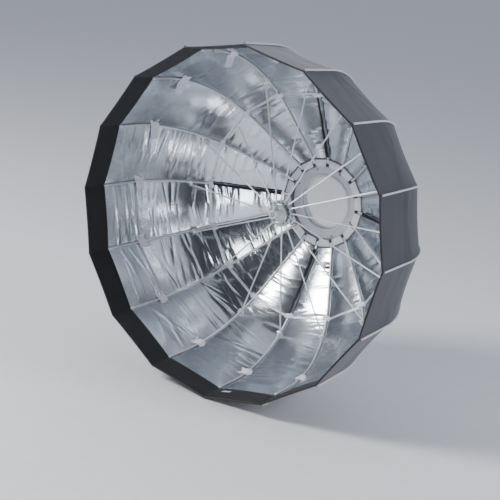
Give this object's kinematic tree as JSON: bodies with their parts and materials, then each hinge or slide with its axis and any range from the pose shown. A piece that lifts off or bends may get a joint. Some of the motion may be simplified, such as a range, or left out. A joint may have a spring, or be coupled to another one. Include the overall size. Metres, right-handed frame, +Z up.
{
  "type": "umbrella reflector",
  "caption": "Deep round umbrella-frame reflector with hinged bowed ribs, braced by struts from a sliding hub, a silver-lined black cover and a speed ring.",
  "frame": {"origin": "centre of the speed ring's lamp opening, on its rear mounting face", "axes": "-Y along the reflector's axis towards its open mouth, +Y towards the lamp, +X right seen from the front, +Z up"},
  "size_m": [0.9294, 0.5312, 0.9294],
  "materials": {
    "ring_paint": "satin light grey",
    "insert_steel": "satin",
    "cover_plastic": "matt pale grey",
    "screw_steel": "plain steel",
    "hub_metal": "satin grey",
    "bright_wire": "bright",
    "rib_steel": "bright drawn",
    "cover_cloth": "black nylon with a silver lining"
  },
  "bodies": {
    "ring": {"speed_ring": "ring_paint", "mount_insert": "insert_steel", "ring_cover": "cover_plastic", "ring_screws": "screw_steel", "rib_hinge_pins": "screw_steel"},
    "hub": {"hub_body": "hub_metal", "hub_back_plate": "hub_metal", "hub_cup": "hub_metal", "hub_screw": "screw_steel", "strut_pins": "screw_steel"},
    "link": {"pull_link": "bright_wire"},
    "pull": {"pull_ring": "bright_wire"},
    "rib_unit_01": {"rib_01": "rib_steel", "canopy_01": "cover_cloth"},
    "strut_unit_01": {"strut_01": "rib_steel"},
    "rib_unit_02": {"rib_02": "rib_steel", "canopy_02": "cover_cloth"},
    "strut_unit_02": {"strut_02": "rib_steel"},
    "rib_unit_03": {"rib_03": "rib_steel", "canopy_03": "cover_cloth"},
    "strut_unit_03": {"strut_03": "rib_steel"},
    "rib_unit_04": {"rib_04": "rib_steel", "canopy_04": "cover_cloth"},
    "strut_unit_04": {"strut_04": "rib_steel"},
    "rib_unit_05": {"rib_05": "rib_steel", "canopy_05": "cover_cloth"},
    "strut_unit_05": {"strut_05": "rib_steel"},
    "rib_unit_06": {"rib_06": "rib_steel", "canopy_06": "cover_cloth"},
    "strut_unit_06": {"strut_06": "rib_steel"},
    "rib_unit_07": {"rib_07": "rib_steel", "canopy_07": "cover_cloth"},
    "strut_unit_07": {"strut_07": "rib_steel"},
    "rib_unit_08": {"rib_08": "rib_steel", "canopy_08": "cover_cloth"},
    "strut_unit_08": {"strut_08": "rib_steel"},
    "rib_unit_09": {"rib_09": "rib_steel", "canopy_09": "cover_cloth"},
    "strut_unit_09": {"strut_09": "rib_steel"},
    "rib_unit_10": {"rib_10": "rib_steel", "canopy_10": "cover_cloth"},
    "strut_unit_10": {"strut_10": "rib_steel"},
    "rib_unit_11": {"rib_11": "rib_steel", "canopy_11": "cover_cloth"},
    "strut_unit_11": {"strut_11": "rib_steel"},
    "rib_unit_12": {"rib_12": "rib_steel", "canopy_12": "cover_cloth"},
    "strut_unit_12": {"strut_12": "rib_steel"},
    "rib_unit_13": {"rib_13": "rib_steel", "canopy_13": "cover_cloth"},
    "strut_unit_13": {"strut_13": "rib_steel"},
    "rib_unit_14": {"rib_14": "rib_steel", "canopy_14": "cover_cloth"},
    "strut_unit_14": {"strut_14": "rib_steel"},
    "rib_unit_15": {"rib_15": "rib_steel", "canopy_15": "cover_cloth"},
    "strut_unit_15": {"strut_15": "rib_steel"},
    "rib_unit_16": {"rib_16": "rib_steel", "canopy_16": "cover_cloth"},
    "strut_unit_16": {"strut_16": "rib_steel"}
  },
  "joints": [
    {"name": "hub_slide", "type": "slide", "parent": "ring", "child": "hub", "axis": [0, 1, 0], "range_m": [0, 0.24144]},
    {"name": "rib_fold_01", "type": "hinge", "parent": "ring", "child": "rib_unit_01", "pos_m": [0.118, -0.028, 0], "axis": [0, 0, -1], "range_deg": [0, 45.1], "deforming": ["canopy_01"]},
    {"name": "strut_fold_01", "type": "hinge", "parent": "hub", "child": "strut_unit_01", "pos_m": [0.031, -0.25, 0.006], "axis": [0, 0, -1], "range_deg": [0, 75.71]},
    {"name": "rib_fold_02", "type": "hinge", "parent": "ring", "child": "rib_unit_02", "pos_m": [0.10902, -0.028, 0.04516], "axis": [0.3827, 0, -0.9239], "range_deg": [0, 45.1], "deforming": ["canopy_02"]},
    {"name": "strut_fold_02", "type": "hinge", "parent": "hub", "child": "strut_unit_02", "pos_m": [0.02634, -0.25, 0.01741], "axis": [0.3827, 0, -0.9239], "range_deg": [0, 75.71]},
    {"name": "rib_fold_03", "type": "hinge", "parent": "ring", "child": "rib_unit_03", "pos_m": [0.08344, -0.028, 0.08344], "axis": [0.7071, 0, -0.7071], "range_deg": [0, 45.1], "deforming": ["canopy_03"]},
    {"name": "strut_fold_03", "type": "hinge", "parent": "hub", "child": "strut_unit_03", "pos_m": [0.01768, -0.25, 0.02616], "axis": [0.7071, 0, -0.7071], "range_deg": [0, 75.71]},
    {"name": "rib_fold_04", "type": "hinge", "parent": "ring", "child": "rib_unit_04", "pos_m": [0.04516, -0.028, 0.10902], "axis": [0.9239, 0, -0.3827], "range_deg": [0, 45.1], "deforming": ["canopy_04"]},
    {"name": "strut_fold_04", "type": "hinge", "parent": "hub", "child": "strut_unit_04", "pos_m": [0.00632, -0.25, 0.03094], "axis": [0.9239, 0, -0.3827], "range_deg": [0, 75.71]},
    {"name": "rib_fold_05", "type": "hinge", "parent": "ring", "child": "rib_unit_05", "pos_m": [0, -0.028, 0.118], "axis": [1, 0, 0], "range_deg": [0, 45.1], "deforming": ["canopy_05"]},
    {"name": "strut_fold_05", "type": "hinge", "parent": "hub", "child": "strut_unit_05", "pos_m": [-0.006, -0.25, 0.031], "axis": [1, 0, 0], "range_deg": [0, 75.71]},
    {"name": "rib_fold_06", "type": "hinge", "parent": "ring", "child": "rib_unit_06", "pos_m": [-0.04516, -0.028, 0.10902], "axis": [0.9239, 0, 0.3827], "range_deg": [0, 45.1], "deforming": ["canopy_06"]},
    {"name": "strut_fold_06", "type": "hinge", "parent": "hub", "child": "strut_unit_06", "pos_m": [-0.01741, -0.25, 0.02634], "axis": [0.9239, 0, 0.3827], "range_deg": [0, 75.71]},
    {"name": "rib_fold_07", "type": "hinge", "parent": "ring", "child": "rib_unit_07", "pos_m": [-0.08344, -0.028, 0.08344], "axis": [0.7071, 0, 0.7071], "range_deg": [0, 45.1], "deforming": ["canopy_07"]},
    {"name": "strut_fold_07", "type": "hinge", "parent": "hub", "child": "strut_unit_07", "pos_m": [-0.02616, -0.25, 0.01768], "axis": [0.7071, 0, 0.7071], "range_deg": [0, 75.71]},
    {"name": "rib_fold_08", "type": "hinge", "parent": "ring", "child": "rib_unit_08", "pos_m": [-0.10902, -0.028, 0.04516], "axis": [0.3827, 0, 0.9239], "range_deg": [0, 45.1], "deforming": ["canopy_08"]},
    {"name": "strut_fold_08", "type": "hinge", "parent": "hub", "child": "strut_unit_08", "pos_m": [-0.03094, -0.25, 0.00632], "axis": [0.3827, 0, 0.9239], "range_deg": [0, 75.71]},
    {"name": "rib_fold_09", "type": "hinge", "parent": "ring", "child": "rib_unit_09", "pos_m": [-0.118, -0.028, 0], "axis": [0, 0, 1], "range_deg": [0, 45.1], "deforming": ["canopy_09"]},
    {"name": "strut_fold_09", "type": "hinge", "parent": "hub", "child": "strut_unit_09", "pos_m": [-0.031, -0.25, -0.006], "axis": [0, 0, 1], "range_deg": [0, 75.71]},
    {"name": "rib_fold_10", "type": "hinge", "parent": "ring", "child": "rib_unit_10", "pos_m": [-0.10902, -0.028, -0.04516], "axis": [-0.3827, 0, 0.9239], "range_deg": [0, 45.1], "deforming": ["canopy_10"]},
    {"name": "strut_fold_10", "type": "hinge", "parent": "hub", "child": "strut_unit_10", "pos_m": [-0.02634, -0.25, -0.01741], "axis": [-0.3827, 0, 0.9239], "range_deg": [0, 75.71]},
    {"name": "rib_fold_11", "type": "hinge", "parent": "ring", "child": "rib_unit_11", "pos_m": [-0.08344, -0.028, -0.08344], "axis": [-0.7071, 0, 0.7071], "range_deg": [0, 45.1], "deforming": ["canopy_11"]},
    {"name": "strut_fold_11", "type": "hinge", "parent": "hub", "child": "strut_unit_11", "pos_m": [-0.01768, -0.25, -0.02616], "axis": [-0.7071, 0, 0.7071], "range_deg": [0, 75.71]},
    {"name": "rib_fold_12", "type": "hinge", "parent": "ring", "child": "rib_unit_12", "pos_m": [-0.04516, -0.028, -0.10902], "axis": [-0.9239, 0, 0.3827], "range_deg": [0, 45.1], "deforming": ["canopy_12"]},
    {"name": "strut_fold_12", "type": "hinge", "parent": "hub", "child": "strut_unit_12", "pos_m": [-0.00632, -0.25, -0.03094], "axis": [-0.9239, 0, 0.3827], "range_deg": [0, 75.71]},
    {"name": "rib_fold_13", "type": "hinge", "parent": "ring", "child": "rib_unit_13", "pos_m": [0, -0.028, -0.118], "axis": [-1, 0, 0], "range_deg": [0, 45.1], "deforming": ["canopy_13"]},
    {"name": "strut_fold_13", "type": "hinge", "parent": "hub", "child": "strut_unit_13", "pos_m": [0.006, -0.25, -0.031], "axis": [-1, 0, 0], "range_deg": [0, 75.71]},
    {"name": "rib_fold_14", "type": "hinge", "parent": "ring", "child": "rib_unit_14", "pos_m": [0.04516, -0.028, -0.10902], "axis": [-0.9239, 0, -0.3827], "range_deg": [0, 45.1], "deforming": ["canopy_14"]},
    {"name": "strut_fold_14", "type": "hinge", "parent": "hub", "child": "strut_unit_14", "pos_m": [0.01741, -0.25, -0.02634], "axis": [-0.9239, 0, -0.3827], "range_deg": [0, 75.71]},
    {"name": "rib_fold_15", "type": "hinge", "parent": "ring", "child": "rib_unit_15", "pos_m": [0.08344, -0.028, -0.08344], "axis": [-0.7071, 0, -0.7071], "range_deg": [0, 45.1], "deforming": ["canopy_15"]},
    {"name": "strut_fold_15", "type": "hinge", "parent": "hub", "child": "strut_unit_15", "pos_m": [0.02616, -0.25, -0.01768], "axis": [-0.7071, 0, -0.7071], "range_deg": [0, 75.71]},
    {"name": "rib_fold_16", "type": "hinge", "parent": "ring", "child": "rib_unit_16", "pos_m": [0.10902, -0.028, -0.04516], "axis": [-0.3827, 0, -0.9239], "range_deg": [0, 45.1], "deforming": ["canopy_16"]},
    {"name": "strut_fold_16", "type": "hinge", "parent": "hub", "child": "strut_unit_16", "pos_m": [0.03094, -0.25, -0.00632], "axis": [-0.3827, 0, -0.9239], "range_deg": [0, 75.71]},
    {"name": "link_swing", "type": "hinge", "parent": "hub", "child": "link", "pos_m": [-0.012, -0.274, 0.0195], "axis": [-1, 0, 0], "range_deg": [-4, 100]},
    {"name": "ring_swing", "type": "hinge", "parent": "link", "child": "pull", "pos_m": [-0.012, -0.274, 0.0065], "axis": [-1, 0, 0], "range_deg": [-3, 90]}
  ],
  "couplings": [
    {"joint": "rib_fold_01", "follows": "hub_slide", "rad_per_m": 3.253},
    {"joint": "strut_fold_01", "follows": "hub_slide", "rad_per_m": 5.466},
    {"joint": "rib_fold_02", "follows": "hub_slide", "rad_per_m": 3.253},
    {"joint": "strut_fold_02", "follows": "hub_slide", "rad_per_m": 5.466},
    {"joint": "rib_fold_03", "follows": "hub_slide", "rad_per_m": 3.253},
    {"joint": "strut_fold_03", "follows": "hub_slide", "rad_per_m": 5.466},
    {"joint": "rib_fold_04", "follows": "hub_slide", "rad_per_m": 3.253},
    {"joint": "strut_fold_04", "follows": "hub_slide", "rad_per_m": 5.466},
    {"joint": "rib_fold_05", "follows": "hub_slide", "rad_per_m": 3.253},
    {"joint": "strut_fold_05", "follows": "hub_slide", "rad_per_m": 5.466},
    {"joint": "rib_fold_06", "follows": "hub_slide", "rad_per_m": 3.253},
    {"joint": "strut_fold_06", "follows": "hub_slide", "rad_per_m": 5.466},
    {"joint": "rib_fold_07", "follows": "hub_slide", "rad_per_m": 3.253},
    {"joint": "strut_fold_07", "follows": "hub_slide", "rad_per_m": 5.466},
    {"joint": "rib_fold_08", "follows": "hub_slide", "rad_per_m": 3.253},
    {"joint": "strut_fold_08", "follows": "hub_slide", "rad_per_m": 5.466},
    {"joint": "rib_fold_09", "follows": "hub_slide", "rad_per_m": 3.253},
    {"joint": "strut_fold_09", "follows": "hub_slide", "rad_per_m": 5.466},
    {"joint": "rib_fold_10", "follows": "hub_slide", "rad_per_m": 3.253},
    {"joint": "strut_fold_10", "follows": "hub_slide", "rad_per_m": 5.466},
    {"joint": "rib_fold_11", "follows": "hub_slide", "rad_per_m": 3.253},
    {"joint": "strut_fold_11", "follows": "hub_slide", "rad_per_m": 5.466},
    {"joint": "rib_fold_12", "follows": "hub_slide", "rad_per_m": 3.253},
    {"joint": "strut_fold_12", "follows": "hub_slide", "rad_per_m": 5.466},
    {"joint": "rib_fold_13", "follows": "hub_slide", "rad_per_m": 3.253},
    {"joint": "strut_fold_13", "follows": "hub_slide", "rad_per_m": 5.466},
    {"joint": "rib_fold_14", "follows": "hub_slide", "rad_per_m": 3.253},
    {"joint": "strut_fold_14", "follows": "hub_slide", "rad_per_m": 5.466},
    {"joint": "rib_fold_15", "follows": "hub_slide", "rad_per_m": 3.253},
    {"joint": "strut_fold_15", "follows": "hub_slide", "rad_per_m": 5.466},
    {"joint": "rib_fold_16", "follows": "hub_slide", "rad_per_m": 3.253},
    {"joint": "strut_fold_16", "follows": "hub_slide", "rad_per_m": 5.466}
  ]
}
